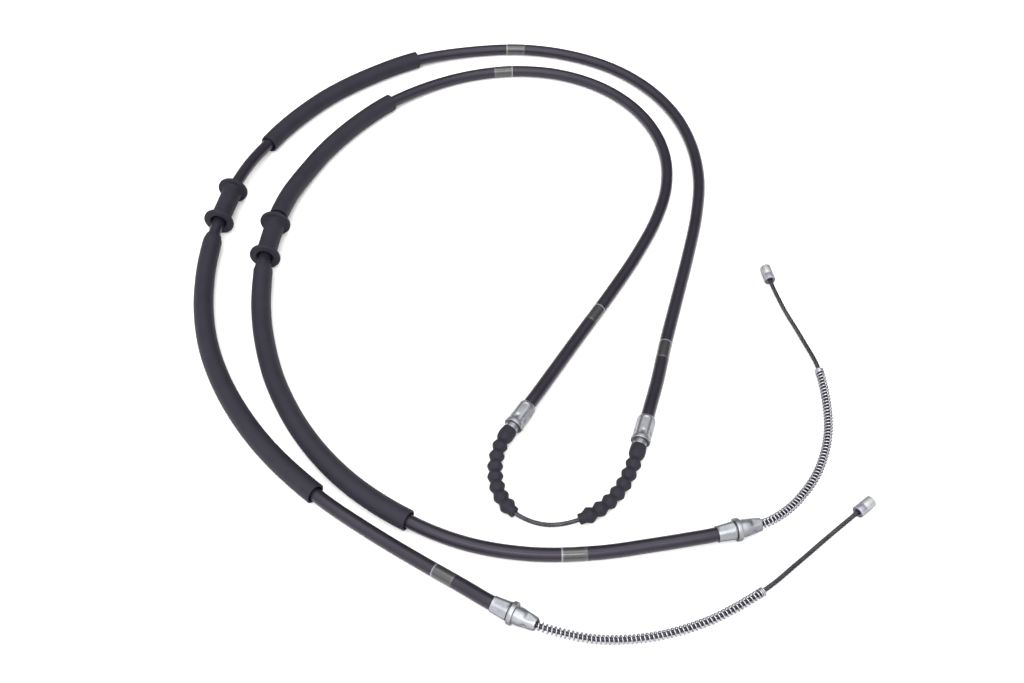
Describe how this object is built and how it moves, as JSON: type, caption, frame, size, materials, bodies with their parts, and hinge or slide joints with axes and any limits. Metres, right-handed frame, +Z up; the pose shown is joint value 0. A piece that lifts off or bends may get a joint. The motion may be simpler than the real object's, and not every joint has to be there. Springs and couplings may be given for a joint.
{
  "type": "parking brake cable",
  "caption": "Sheathed cables on a continuous steel rope that loops over an equaliser, with boots, crimped ferrules, guide bushes, loose sleeves, return springs and end nipples.",
  "frame": {"origin": "middle of the part's bounding box in plan, on the surface that it lies on", "axes": "+Z up, +Y away from the front loop and towards the far bend of the casings, +X to the right as seen from the front loop's side"},
  "size_m": [0.4603, 0.5654, 0.0226],
  "materials": {
    "sheath": "extruded black sheath, semi-gloss",
    "armour": "close-wound flat steel wire",
    "liner": "smooth low-friction tube",
    "rubber": "moulded matte black rubber",
    "sleeve": "cut black hose, matte",
    "zinc": "bright zinc plate over crimped steel",
    "spring": "bright plated spring wire",
    "rope": "stranded steel wire, dull grey with glints"
  },
  "bodies": {
    "root": {"right_casing_sheath": "sheath", "right_casing_armour": "armour", "right_casing_liner": "liner", "right_front_ferrule": "zinc", "right_front_boot": "rubber", "right_front_sleeve": "sleeve", "right_guide_bush": "rubber", "right_rear_sleeve": "sleeve", "right_rear_ferrule": "zinc", "right_return_spring": "spring", "right_end_nipple": "zinc", "left_casing_sheath": "sheath", "left_casing_armour": "armour", "left_casing_liner": "liner", "left_front_ferrule": "zinc", "left_front_boot": "rubber", "left_front_sleeve": "sleeve", "left_guide_bush": "rubber", "left_rear_sleeve": "sleeve", "left_rear_ferrule": "zinc", "left_return_spring": "spring", "left_end_nipple": "zinc", "inner_rope": "rope"}
  },
  "joints": []
}
